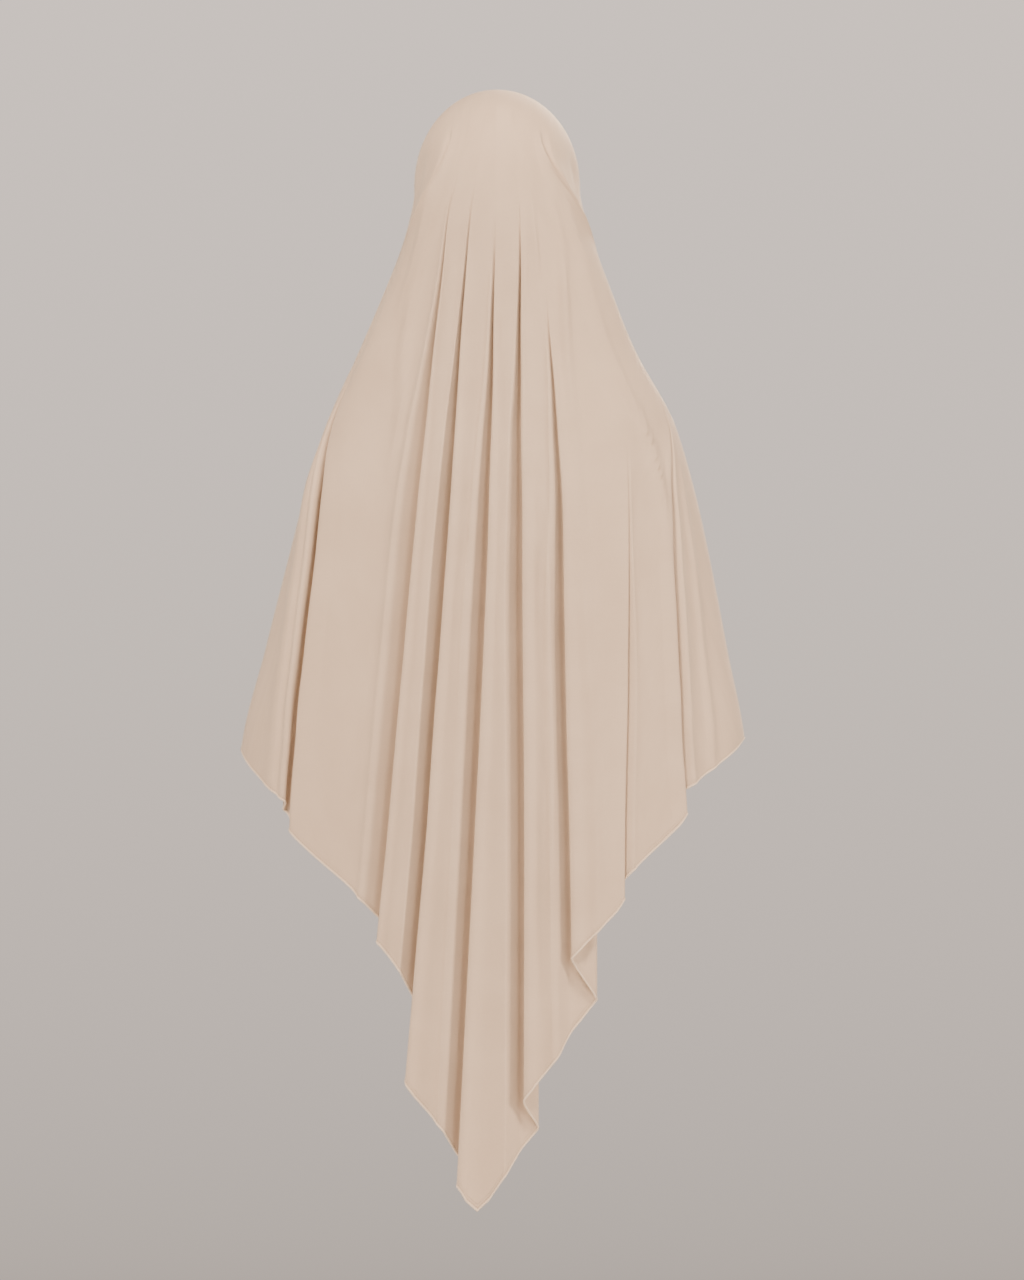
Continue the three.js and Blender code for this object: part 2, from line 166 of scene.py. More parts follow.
# Laps: folds whose one side lies over the other. "place" is where the edge runs, as a share of the half
# width at each drop in lapDrops and at the hem. It grows from "start" to "full", and "under" and "edge" are
# the hem's drops there. Drops are shares of the back's length, the rest is in mm. On the head the two outer
# ones are the edges of the drape over its sides: "head" is their place there, in degrees.
lapDrops = [0.04, 0.1, 0.16, 0.23, 0.3, 0.35, 0.42, 0.58, 0.65]
headDrops = [0.03, 0.045, 0.065, 0.084, 0.097, 0.115, 0.13, 0.16, 0.21]
headStep = {
    "raised": 7.5, "side": 17, "eased": 0.35,
    "shows": 0.034, "full": 0.075, "fades": 0.095, "gone": 0.155,
}
laps = [
    {"name": "leftShoulder", "faces": "left", "section": "roll",
     "place": [-0.9, -0.9, -0.93, -0.95, -0.98, -0.915, -0.87, -0.785, -0.79, -0.795],
     "head": [31, 31.5, 32.5, 38, 45, 56, 66, 84, 86],
     "start": 0.25, "full": 0.36, "under": 0.645, "edge": 0.663,
     "lap": 1, "depth": 1, "before": 1, "after": 1, "soft": 0},
    {"name": "leftOuter", "faces": "left", "section": "lap",
     "place": [-0.3, -0.5, -0.45, -0.435, -0.42, -0.41, -0.405, -0.38, -0.4, -0.445],
     "start": 0.058, "full": 0.42, "under": 0.753, "edge": 0.758,
     "lap": 14, "depth": 19, "before": 21, "after": 6, "soft": 0.3},
    {"name": "leftInner", "faces": "left", "section": "lap",
     "place": [-0.15, -0.265, -0.255, -0.25, -0.255, -0.245, -0.245, -0.235, -0.25, -0.335],
     "start": 0.072, "full": 0.45, "under": 0.83, "edge": 0.887,
     "lap": 15, "depth": 22, "before": 17, "after": 7, "soft": 0.08},
    {"name": "leftMiddle", "faces": "left", "section": "lap",
     "place": [0, -0.015, -0.015, -0.02, -0.05, -0.05, -0.05, -0.05, -0.065, -0.135],
     "start": 0.1, "full": 0.5, "under": 0.966, "edge": 0.975,
     "lap": 12, "depth": 21, "before": 20, "after": 7, "soft": 0.3},
    {"name": "rightMiddle", "faces": "left", "section": "lap",
     "place": [0.165, 0.24, 0.21, 0.17, 0.115, 0.12, 0.115, 0.125, 0.125, 0.12],
     "start": 0.082, "full": 0.48, "under": 0.926, "edge": 0.902,
     "lap": 16, "depth": 19, "before": 20.5, "after": 8, "soft": 0.08},
    {"name": "rightInner", "faces": "left", "section": "lap",
     "place": [0.26, 0.36, 0.4, 0.38, 0.32, 0.325, 0.31, 0.295, 0.3, 0.305],
     "start": 0.17, "full": 0.52, "under": 0.8125, "edge": 0.775,
     "lap": 29, "depth": 15, "before": 18, "after": 9, "soft": 0.3},
    {"name": "rightOuter", "faces": "right", "section": "lap",
     "place": [0.38, 0.5, 0.56, 0.62, 0.725, 0.66, 0.61, 0.525, 0.51, 0.505],
     "start": 0.31, "full": 0.55, "under": 0.709, "edge": 0.727,
     "lap": 4, "depth": 5, "before": 9, "after": 10, "soft": 0.3},
    {"name": "rightShoulder", "faces": "right", "section": "lap",
     "place": [0.88, 0.9, 0.93, 0.95, 0.955, 0.88, 0.82, 0.745, 0.75, 0.755],
     "head": [30, 30, 30.5, 37, 45, 60, 77, 90, 86],
     "start": 0.26, "full": 0.43, "under": 0.629, "edge": 0.65,
     "lap": 7, "depth": 9, "before": 11, "after": 12, "soft": 0.3},
]
# The section through a lap: how far across in shares of "before" or "after", and in shares of the lap and
# depth. "soft" widens the corner where the cloth turns down, "spread" is where the points lie before the fold
# forms, and "step" is how far each point stands out at the edge of the drape over the head. "hem" names the
# points that state the hem. The roll is a lap with a round fold in front of it, in mm.
lapSection = {
    "across": [-1.22, -1, -1, -1, -0.5, -0.12, 0, 0, 0, 0, 0, 0, -0.03, 0.16, 0.55, 1, 1.5],
    "soft": [-0.4, -1, 0, 1, 0, 0, 0, 0, 0, 0, 0, 0, 0, 0, 0, 0, 0],
    "lap": [0, 0, 0, 0, 0, 0.02, 0.45, 0.9, 1, 0.82, 0.42, 0.08, -0.02, 0, 0, 0, 0],
    "depth": [
        0.05, 0.1, 0.1, 0.1, -0.47, -0.87, -1, -1, -0.84, -0.66, -0.46, -0.22, 0.02, 0.14, 0.16, 0.1, 0,
    ],
    "spread": [
        -1.3, -1.15, -1.02, -0.9, -0.65, -0.45, -0.3, -0.18, -0.08,
        0.02, 0.12, 0.22, 0.35, 0.5, 0.8, 1.1, 1.5,
    ],
    "step": [0, 0.05, 0.1, 0, -0.5, -1, -1.1, -0.5, 0.2, 0.6, 0.75, 0.78, 0.77, 0.74, 0.7, 0.63, 0.55],
    "hem": ["", "", "", "", "", "", "", "", "under", "", "", "", "edge", "", "", "", ""],
}
rollSection = {
    "across": [
        -44, -32, -23, -17.5, -13.2, -10, -7.6, -6.9, -7.8, -10,
        -13.8, -17, -12.6, -6, -1.8, -0.4, 0.6, 5, 14, 26,
    ],
    "soft": [0] * 20,
    "lap": [0] * 20,
    "depth": [
        1.5, 5.5, 6, 3.4, 6.6, 7.4, 5.6, 2.5, -0.8, -4.4,
        -8.8, -14, -17.5, -14, -7, -2, 0.6, 1.5, 1, 0,
    ],
    "spread": [
        -34, -28, -23, -19, -15.5, -12.5, -10, -8, -6.5, -5, -3.8, -2.7, -1.7, -0.8, 0.1, 1, 2.5, 6, 13, 22,
    ],
    "step": [
        0, 0.1, 0.15, 0.1, -0.1, -0.5, -0.9, -1.1, -1.1, -0.8,
        -0.3, 0.25, 0.6, 0.75, 0.8, 0.8, 0.76, 0.7, 0.62, 0.55,
    ],
    "hem": ["", "", "", "", "", "", "", "", "", "", "", "", "under", "", "", "", "edge", "", "", ""],
}
# The sides and the front: places in degrees from the middle of the back, mirrored left and right, on the body
# and on the head, and how far the hem has gone there from the side's drop to the front's
plainColumns = {
    "degrees": [84, 100, 118, 134, 150, 166],
    "head": [104, 114, 126, 140, 154, 167],
    "edge": [0, 0.3, 0.55, 0.75, 0.9, 0.98],
}
hemDrops = {"sideLeft": 709, "sideRight": 696, "front": 690}
# The point of the hem: its drops at places across, in mm from the lap that it follows. The tip is kept crisp.
pointHem = {
    "after": "leftMiddle", "across": [10, 23, 37, 52], "drops": [1187, 1201, 1188, 1165],
    "tip": 23, "near": 12, "far": 26,
}


def smoothLine(drops, places, reach=60):
    # A line through the places, rounded off where it bends. Drops in mm.
    fine = np.arange(drops[0] - 400, drops[-1] + 400, 5.0)
    line = np.interp(fine, drops, places)
    slope = (places[-1] - places[-2]) / (drops[-1] - drops[-2])
    line = np.where(fine > drops[-1], places[-1] + slope * (fine - drops[-1]), line)
    kernel = np.hanning(int(2 * reach / 5) + 3)
    rounded = np.convolve(line, kernel / kernel.sum(), mode="same")
    return fine[60:-60], rounded[60:-60]


def lapLine(lap, hemHeight):
    # The lap's edge as drops in mm and angles
    drops = np.array(lapDrops) * backMm
    angles = np.arcsin(np.array(lap["place"]))
    keep = drops < -hemHeight - 40
    drops, angles = np.append(drops[keep], -hemHeight), np.append(angles[:-1][keep], angles[-1])
    if "head" not in lap:
        return smoothLine(drops, angles)
    side = -1 if lap["faces"] == "left" else 1
    below = drops > headDrops[-1] * backMm + 40
    drops = np.append(np.array(headDrops) * backMm, drops[below])
    angles = np.append(side * np.radians(lap["head"]), angles[below])
    return smoothLine(drops, angles, reach=35)


class Station:
    # One point of the section round the veil: its angle and how far out it lies, at a level and height
    def __init__(self, hem, angleOf, across=None, outOf=None, name=""):
        self.hem = hem
        self.angleOf = angleOf
        self.across = across
        self.outOf = outOf
        self.name = name

    def at(self, level, height):
        angle = self.angleOf(height)
        if self.across is not None:
            angle = angle + self.across(level, height) / speedAt(level, angle)
        return angle, self.outOf(level, height) if self.outOf else np.zeros_like(angle)


def lapStations(lap):
    edge, under = -lap["edge"] * backMm, -lap["under"] * backMm
    turn = -1 if lap["faces"] == "right" else 1
    line = lapLine(lap, edge)
    stations = []
    section = rollSection if lap["section"] == "roll" else lapSection
    for across, soft, share, depth, spread, step, hem in zip(*section.values()):
        across += soft * lap["soft"]
        depth -= 1.1 * max(soft, 0) * lap["soft"]

        def age(height):
            return np.clip((dropOf(height) - lap["start"]) / (lap["full"] - lap["start"]), 0, 1)

        def growth(height):
            return np.sin(age(height) * math.pi / 2) * smooth(age(height), 0, 0.25)

        def acrossAt(level, height, across=across, share=share, spread=spread):
            grown = growth(height)
            crowd = np.minimum(1, spline(guides, level)[..., 6] * 2 / form["shoulderWidth"]) ** 1.4
            reach = crowd * mix(0.3, 1, smooth(age(height), 0, 1) ** 1.3)
            early = spread * reach * (lap["before"] if spread < 0 else lap["after"])
            if "head" in lap and spread < 0:
                onHead = 1 - smooth(dropOf(height), headStep["gone"], headStep["gone"] + 0.04)
                early = mix(early, -spread / section["spread"][0] * headStep["side"], onHead)
            late = across * reach * (lap["before"] if across < 0 else lap["after"])
            late = late + share * lap["lap"] * grown
            return turn * mix(early, late, np.minimum(1, grown * 5))

        def outAt(level, height, depth=depth, step=step):
            out = depth * lap["depth"] * growth(height)
            if "head" in lap:
                drop, h = dropOf(height), headStep
                shown = smooth(drop, h["shows"], h["full"]) * (1 - smooth(drop, h["fades"], h["gone"]))
                out = out * (1 - h["eased"] * smooth(drop, 0.5, 0.64))
                out = out + step * h["raised"] * shown * smooth(level, 3.2, 4.6)
            return out

        def angleAt(height):
            return np.interp(-height, *line)

        hemHeight = {"under": under, "edge": edge}.get(hem)
        stations.append(Station(hemHeight, angleAt, acrossAt, outAt, lap["name"]))
    return stations if turn > 0 else stations[::-1]


def allStations():
    groups = [lapStations(lap) for lap in laps]
    right, left = [], []
    for degrees, head, share in zip(*plainColumns.values()):
        for side, store, corner in ((1, right, "sideRight"), (-1, left, "sideLeft")):
            hem = -mix(hemDrops[corner], hemDrops["front"], share)
            low, high = side * math.radians(degrees), side * math.radians(head)

            def angleAt(height, low=low, high=high):
                return mix(high, low, smooth(-height, 190, 330))

            store.append(Station(hem, angleAt))
    stations = left[::-1] + [s for group in groups for s in group] + right
    stations.append(Station(-hemDrops["front"], lambda height: np.full_like(height, math.pi)))
    return stations


# Soft creases and crests, laid over the panels: place as a share of the half width at each drop, the width
# and height in mm (below zero for a crease), and the drops between which it shows
softFolds = [
    {"name": "leftTuck", "drops": [0.12, 0.3], "place": [-1.02, -1.02],
     "width": 38, "height": -4.5, "from": 0.09, "to": 0.34},
    {"name": "leftLine", "drops": [0.08, 0.1, 0.14, 0.18], "place": [-0.67, -0.72, -0.785, -0.815],
     "width": 3, "height": 4, "from": 0.055, "to": 0.2},
    {"name": "leftDrape",
     "drops": [0.08, 0.14, 0.18, 0.24, 0.28], "place": [-0.62, -0.71, -0.74, -0.68, -0.6],
     "width": 5, "height": 4, "from": 0.06, "to": 0.34},
    {"name": "crownRidge",
     "drops": [0.1, 0.15, 0.21, 0.28, 0.6, 0.8], "place": [0.36, 0.34, 0.28, 0.22, 0.23, 0.21],
     "width": 2.8, "height": 3.8, "from": 0.07, "to": 0.84},
    {"name": "crownLine", "drops": [0.1, 0.28], "place": [0.1, 0.07],
     "width": 3, "height": 3.2, "from": 0.09, "to": 0.28},
    {"name": "rightTension", "drops": [0.1, 0.14, 0.24, 0.28, 0.32], "place": [0.73, 0.76, 0.78, 0.8, 0.83],
     "width": 3.2, "height": 6, "from": 0.06, "to": 0.36},
    {"name": "rightRim", "drops": [0.1, 0.13, 0.17, 0.28], "place": [0.87, 0.93, 0.95, 0.97],
     "width": 4, "height": 1, "from": 0.08, "to": 0.32},
    {"name": "rightDrape",
     "drops": [0.1, 0.13, 0.17, 0.21, 0.28, 0.32], "place": [0.59, 0.6, 0.55, 0.51, 0.43, 0.41],
     "width": 4, "height": 5, "from": 0.07, "to": 0.34},
    {"name": "rightCrest", "drops": [0.28, 0.32, 0.37, 0.6], "place": [0.43, 0.41, 0.39, 0.4],
     "width": 8, "height": 4, "from": 0.3, "to": 0.8},
    {"name": "leftSplit",
     "drops": [0.32, 0.42, 0.62, 0.8, 0.9], "place": [-0.2, -0.14, -0.145, -0.18, -0.205],
     "width": 1.8, "height": -1.6, "from": 0.33, "to": 0.93},
    {"name": "shoulderTuck", "drops": [0.3, 0.385], "place": [0.86, 0.81],
     "width": 4, "height": 3, "from": 0.3, "to": 0.4},
    {"name": "rightEdge", "drops": [0.32, 0.37, 0.44, 0.59], "place": [0.965, 0.94, 0.925, 0.88],
     "width": 4, "height": 4, "from": 0.29, "to": 0.62},
    {"name": "leftPleat", "drops": [0.04, 0.1], "place": [-0.9, -0.95],
     "width": 3, "height": -3.5, "from": 0.03, "to": 0.13},
    {"name": "rightPleat", "drops": [0.04, 0.08], "place": [0.87, 0.94],
     "width": 3, "height": -3, "from": 0.03, "to": 0.12},
]
# Soft folds that hang down the front on both sides: degrees from the middle of the back, left and right
frontFolds = [
    {"left": -103, "right": 107, "width": 26, "height": 5, "from": 0.24},
    {"left": -127, "right": 124, "width": 20, "height": 6, "from": 0.22},
    {"left": -146, "right": 143, "width": 17, "height": 6, "from": 0.2},
    {"left": -166, "right": 163, "width": 19, "height": 6.5, "from": 0.21},
]
# The half width of the hood at a few drops, in mm, for placing the soft creases
hoodHalf = {"down": [0, 105, 182, 268, 354], "half": [70, 89, 108, 142, 185]}
# Spacing of the columns and rows of cloth, its wall, and the faint ripples, in mm
veilSettings = {
    "backStep": 3.1, "frontStep": 8.5, "hoodRows": 62, "skirtRows": 48, "wall": 0.9,
    "wrinkle": 0.7, "wrinkleAcross": 26, "wrinkleDown": 170, "aroundBody": 200,
    "waves": [(1, 1, 0.3), (1.7, 0.8, 2.1), (2.9, 1.3, 4.4), (0.6, 0.5, 1.2)],
}
# The turned hem, in mm. Its section goes from the cloth to the rolled rim, in shares of width and thickness.
hemSettings = {
    "width": 5.5, "gap": 0.08, "mostSlant": 1.6, "thickness": 2.4, "cornerReach": 17, "tipReach": 4,
    "across": [0, 0.03, 0.2, 0.4, 0.56, 0.63, 0.7, 0.82, 0.94, 1],
    "wall": [0.36, 0.38, 0.38, 0.36, 0.3, 0.36, 0.76, 1, 0.76, 0.25],
}


def frontRelief(level, angle, height):
    turned = np.mod(angle + math.pi, 2 * math.pi) - math.pi
    speed = speedAt(level, angle)
    relief = np.zeros_like(angle)
    for fold in frontFolds:
        shows = fold["height"] * smooth(dropOf(height), fold["from"], fold["from"] + 0.3)
        for side in ("left", "right"):
            offset = (turned - math.radians(fold[side])) * speed / fold["width"]
            relief += np.exp(-offset**2) * shows
    return relief


def softRelief(level, angle, height):
    sine, drop = np.sin(angle), dropOf(height)
    behind = smooth(np.cos(angle), -0.05, 0.15) * smooth(level, 3, 4.4)
    onSkirt = spline(guides, levelAt(np.minimum(height, -form["shoulderDrop"])))[..., 6]
    onHood = np.interp(-height, hoodHalf["down"], hoodHalf["half"])
    half = np.where(height > -form["shoulderDrop"], onHood, onSkirt)
    relief = np.zeros_like(sine)
    for fold in softFolds:
        offset = (sine - np.interp(drop, fold["drops"], fold["place"])) * half / fold["width"]
        shows = smooth(drop, fold["from"], fold["from"] + 0.07)
        shows = shows * (1 - smooth(drop, fold["to"] - 0.05, fold["to"] + 0.03))
        relief += fold["height"] * np.exp(-offset**2) * shows
    return relief * behind + frontRelief(level, angle, height) * smooth(-np.cos(angle), -0.05, 0.25)


def wrinkles(angle, height):
    # Faint ripples that run down the cloth
    s = veilSettings
    around = np.mod(angle + math.pi, 2 * math.pi) * s["aroundBody"]
    total = np.zeros_like(angle)
    for k, (fineness, wandering, turn) in enumerate(s["waves"]):
        wander = np.sin(height / s["wrinkleDown"] * wandering * 1.7 + turn * 3) * (0.8 + 0.2 * k)
        total += np.sin(around / s["wrinkleAcross"] * fineness + wander + turn) / (1 + 0.5 * k)
    fade = smooth(-height, 150, 420)
    return total * s["wrinkle"] * fade * 0.5


def buildColumns():
    # Dense columns between the stations: each one is (station, share of the way to the next one)
    stations = allStations()
    count = len(stations)
    reference = []
    for station in stations:
        height = np.array([-640.0])
        level = levelAt(height)
        angle, out = station.at(level, height)
        reference.append(clothPoint(level, angle, out)[0])
    reference = np.array(reference)
    chord = np.linalg.norm(np.roll(reference, -1, axis=0) - reference, axis=1)
    columns = []
    for k in range(count):
        step = veilSettings["backStep"] if reference[k][1] < 20 else veilSettings["frontStep"]
        parts = max(2, int(round(chord[k] / step)))
        columns += [(k, i / parts) for i in range(parts)]
    return stations, chord, columns


def hermite(values, spans, t):
    # A smooth curve between the middle two of four values, with the spans between them
    a, b, c, d = values
    h0, h1, h2 = spans
    m1 = ((c - b) / h1 * h0 + (b - a) / h0 * h1) / (h0 + h1) * h1
    m2 = ((d - c) / h2 * h1 + (c - b) / h1 * h2) / (h1 + h2) * h1
    t2, t3 = t * t, t * t * t
    return (2 * t3 - 3 * t2 + 1) * b + (t3 - 2 * t2 + t) * m1 + (3 * t2 - 2 * t3) * c + (t3 - t2) * m2


stations, chord, columns = buildColumns()
stationCount = len(stations)
print("columns of cloth", len(columns))


def columnValues(k, share, level, height):
    # Angle and outward place of the columns between station k and the next one
    angles, outs = [], []
    for step in (-1, 0, 1, 2):
        station = stations[(k + step) % stationCount]
        angle, out = station.at(level, height)
        if k + step < 0:
            angle = angle - 2 * math.pi
        if k + step >= stationCount:
            angle = angle + 2 * math.pi
        angles.append(angle)
        outs.append(out)
    speed = speedAt(level, angles[1])
    spans = [np.hypot((angles[i + 1] - angles[i]) * speed, outs[i + 1] - outs[i]) + 0.2 for i in range(3)]
    angle = hermite(angles, spans, share)
    out = hermite(outs, spans, share)
    return angle, out + softRelief(level, angle, height) + wrinkles(angle, height)


def roundOff(line, reach):
    # Rounds the corners of a closed line of heights, which lie 0.5 mm apart
    kernel = np.hanning(4 * reach + 3)
    ends = len(kernel)
    closed = np.concatenate([line[-ends:], line, line[:ends]])
    return np.convolve(closed, kernel / kernel.sum(), mode="same")[ends:-ends]


def columnHems():
    # Straight between the stations that state their hem, then rounded off at the corners
    starts = np.concatenate([[0], np.cumsum(chord)])
    owner = np.array([k for k, share in columns])
    at = np.array([starts[k] + share * chord[k] for k, share in columns])
    stated = [k for k, station in enumerate(stations) if station.hem is not None]
    first = [int(np.searchsorted(owner, k)) for k in stated]
    heights = [stations[k].hem for k in stated]
    before = [k for k in stated if stations[k].name == pointHem["after"]][-1]
    for turn in range(4):
        corner = at[int(np.searchsorted(owner, before))]
        places = [at[i] for i in first] + [corner + across for across in pointHem["across"]]
        order = np.argsort(places)
        values = np.array(heights + [-drop for drop in pointHem["drops"]])[order]
        around = at[-1] + 5
        fine = np.arange(0, around, 0.5)
        line = np.interp(fine, np.array(places)[order], values, period=around)
        crisp, rounded = roundOff(line, hemSettings["tipReach"]), roundOff(line, hemSettings["cornerReach"])
        nearTip = 1 - smooth(np.abs(fine - corner - pointHem["tip"]), pointHem["near"], pointHem["far"])
        hems = np.interp(at, fine, mix(rounded, crisp, nearTip), period=around)
        edge = skirtRows(hems[None])[0]
        at = np.concatenate([[0], np.cumsum(np.linalg.norm(np.diff(edge[:, :2], axis=0), axis=1))])
    return hems


def hoodRows(levels):
    rows = np.zeros((len(levels), len(columns), 3))
    for j, (k, share) in enumerate(columns):
        height = spline(guides, levels)[:, 5]
        for turn in range(3):
            angle, out = columnValues(k, share, levels, height)
            height = formPoint(levels, angle)[:, 2]
        rows[:, j] = clothPoint(levels, angle, out)
    return rows


def skirtRows(heights):
    # heights: one row of heights per row of points
    rows = np.zeros(heights.shape + (3,))
    for j, (k, share) in enumerate(columns):
        height = heights[:, j]
        level = levelAt(height)
        angle, out = columnValues(k, share, level, height)
        rows[:, j] = clothPoint(level, angle, out)
        rows[:, j, 2] = height
    return rows


hems = columnHems()
edge = skirtRows(hems[None])[0]
before, after = np.roll(edge, 1, axis=0), np.roll(edge, -1, axis=0)
levelStep = np.hypot(*(edge - before)[:, :2].T) + np.hypot(*(after - edge)[:, :2].T)
slant = np.minimum(np.hypot(1, (after - before)[:, 2] / levelStep), hemSettings["mostSlant"])
for turn in range(4):
    slant = (np.roll(slant, 1) + 2 * slant + np.roll(slant, -1)) / 4
clothEnd = hems + (hemSettings["width"] + hemSettings["gap"]) * slant

hoodLevels = np.linspace(0, shoulderLevel - 0.25, veilSettings["hoodRows"])
shares = np.append(np.linspace(0, 1, veilSettings["skirtRows"])[:-1], [0.9992, 1])
skirtHeights = mix(-form["shoulderDrop"], clothEnd[None, :], shares[:, None])
clothRows = np.concatenate([hoodRows(hoodLevels), skirtRows(skirtHeights)])
hemShares = 1 - np.array(hemSettings["across"])
hemRows = skirtRows(hems[None, :] + hemShares[:, None] * hemSettings["width"] * slant[None, :])
print("rows of cloth", len(clothRows), "faces", clothRows.shape[0] * clothRows.shape[1])


def outwardOf(rows):
    # The way out from the cloth at each point of closed rows
    around = np.roll(rows, -1, axis=1) - np.roll(rows, 1, axis=1)
    down = np.gradient(rows, axis=0)
    outward = -np.cross(around, down)
    return outward / np.linalg.norm(outward, axis=-1, keepdims=True)


def gridPiece(name, rows, closedSection=None):
    # A grid of faces laid over rows of points that close round the veil. closedSection holds how far down each
    # row lies, where the last row joins the first.
    rows = np.concatenate([rows, rows[:, :1]], axis=1)
    if closedSection is not None:
        rows = np.concatenate([rows, rows[:1]], axis=0)
    down, across = rows.shape[0] - 1, rows.shape[1] - 1
    lengths = np.linalg.norm(np.diff(rows, axis=1), axis=2)[len(rows) // 2]
    u = np.concatenate([[0], np.cumsum(lengths)]) * uvScale
    steps = np.linalg.norm(np.diff(rows, axis=0), axis=2)
    v = np.concatenate([np.zeros((1, across + 1)), np.cumsum(steps, axis=0)]) * uvScale
    if closedSection is not None:
        v = np.repeat(np.append(closedSection, closedSection[-1])[:, None] * uvScale, across + 1, axis=1)
    bm = bmesh.new()
    uv = bm.loops.layers.uv.new("cloth")
    bmesh.ops.create_grid(bm, x_segments=across, y_segments=down, size=1)
    place = {}
    for vert in bm.verts:
        j = int(round((vert.co.x + 1) / 2 * across))
        i = int(round((1 - vert.co.y) / 2 * down))
        place[vert] = (i, j)
        vert.co = Vector(rows[i, j] * mm)
    for face in bm.faces:
        face.smooth = True
        for loop in face.loops:
            i, j = place[loop.vert]
            loop[uv].uv = (u[j], v[i, j])
    bmesh.ops.remove_doubles(bm, verts=bm.verts, dist=1e-6)
    bmesh.ops.recalc_face_normals(bm, faces=bm.faces)
    mesh = bpy.data.meshes.new(name)
    bm.to_mesh(mesh)
    bm.free()
    piece = bpy.data.objects.new(name, mesh)
    bpy.context.scene.collection.objects.link(piece)
    return piece


# Colours and finish of the jersey. Sizes in metres.
jersey = {
    "dark": (0.585, 0.484, 0.402), "light": (0.657, 0.552, 0.463), "sheen": 0.3, "sheenRoughness": 0.4,
    "loop": 0.0009, "course": 0.0012, "grain": 0.0022, "mottle": 0.055, "bump": 0.35, "depth": 0.0004,
}
# The row of stitches and the painted highlight on the rim of the turned edge, a paler colour where the rolled
# rim catches the light. Sizes in metres.
turnedEdge = {
    "row": 0.0024, "rowWidth": 0.0005, "stitch": 0.003, "thread": (0.5, 0.4, 0.32),
    "bump": 0.45, "depth": 0.0005, "rimHighlight": 0.0017, "rimHighlightColor": (0.8, 0.71, 0.62),
}


def mathNode(tree, operation, first, second=None):
    # A maths node in the tree, whose inputs are numbers or other nodes' outputs
    node = tree.nodes.new("ShaderNodeMath")
    node.operation = operation
    for socket, value in zip(node.inputs, (first, second)):
        if isinstance(value, (int, float)):
            socket.default_value = value
        elif value is not None:
            tree.links.new(value, socket)
    return node.outputs["Value"]


def jerseyGroup():
    # Knit, mottle and grain of the jersey, from the cloth's own coordinates
    group = bpy.data.node_groups.new("jerseyKnit", "ShaderNodeTree")
    for name in ("Loop", "Course", "Grain", "Mottle"):
        group.interface.new_socket(name, in_out="INPUT", socket_type="NodeSocketFloat")
    for name in ("Shade", "Rough", "Height"):
        group.interface.new_socket(name, in_out="OUTPUT", socket_type="NodeSocketFloat")
    nodes, links = group.nodes, group.links
    given, result = nodes.new("NodeGroupInput"), nodes.new("NodeGroupOutput")
    cloth = nodes.new("ShaderNodeUVMap")
    cloth.uv_map = "cloth"
    place = nodes.new("ShaderNodeSeparateXYZ")
    links.new(cloth.outputs["UV"], place.inputs["Vector"])

    def combine(operation, first, second=None):
        return mathNode(group, operation, first, second)

    def wave(along, period):
        turns = combine("DIVIDE", along, period)
        return combine("SINE", combine("MULTIPLY", turns, 2 * math.pi))

    def noise(period, detail):
        node = nodes.new("ShaderNodeTexNoise")
        node.inputs["Detail"].default_value = detail
        links.new(cloth.outputs["UV"], node.inputs["Vector"])
        links.new(combine("DIVIDE", 1.0, period), node.inputs["Scale"])
        return node.outputs["Fac"]

    wales = wave(place.outputs["X"], given.outputs["Loop"])
    courses = wave(place.outputs["Y"], given.outputs["Course"])
    loops = combine("MULTIPLY", combine("ABSOLUTE", wales), combine("MULTIPLY_ADD", courses, 0.3))
    grain = noise(given.outputs["Grain"], 2.0)
    mottle = noise(given.outputs["Mottle"], 4.0)
    links.new(combine("ADD", loops, grain), result.inputs["Height"])
    both = combine("ADD", combine("MULTIPLY", mottle, 1.5), combine("MULTIPLY", grain, 0.55))
    links.new(combine("SUBTRACT", both, 0.52), result.inputs["Shade"])
    rough = combine("ADD", combine("MULTIPLY", mottle, 0.12), combine("MULTIPLY", grain, 0.1))
    links.new(combine("ADD", rough, 0.51), result.inputs["Rough"])
    return group


knit = jerseyGroup()


def jerseyMaterial(name):
    material = bpy.data.materials.new(name)
    material.use_nodes = True
    nodes, links = material.node_tree.nodes, material.node_tree.links
    shader = nodes["Principled BSDF"]
    shader.inputs["Sheen Weight"].default_value = jersey["sheen"]
    shader.inputs["Sheen Roughness"].default_value = jersey["sheenRoughness"]
    surface = nodes.new("ShaderNodeGroup")
    surface.node_tree = knit
    for socket, key in (("Loop", "loop"), ("Course", "course"), ("Grain", "grain"), ("Mottle", "mottle")):
        surface.inputs[socket].default_value = jersey[key]
    shade = nodes.new("ShaderNodeMix")
    shade.data_type = "RGBA"
    shade.inputs["A"].default_value = (*jersey["dark"], 1)
    shade.inputs["B"].default_value = (*jersey["light"], 1)
    bump = nodes.new("ShaderNodeBump")
    bump.inputs["Strength"].default_value = jersey["bump"]
    bump.inputs["Distance"].default_value = jersey["depth"]
    links.new(surface.outputs["Shade"], shade.inputs["Factor"])
    links.new(shade.outputs["Result"], shader.inputs["Base Color"])
    links.new(surface.outputs["Rough"], shader.inputs["Roughness"])
    links.new(surface.outputs["Height"], bump.inputs["Height"])
    links.new(bump.outputs["Normal"], shader.inputs["Normal"])
    return material


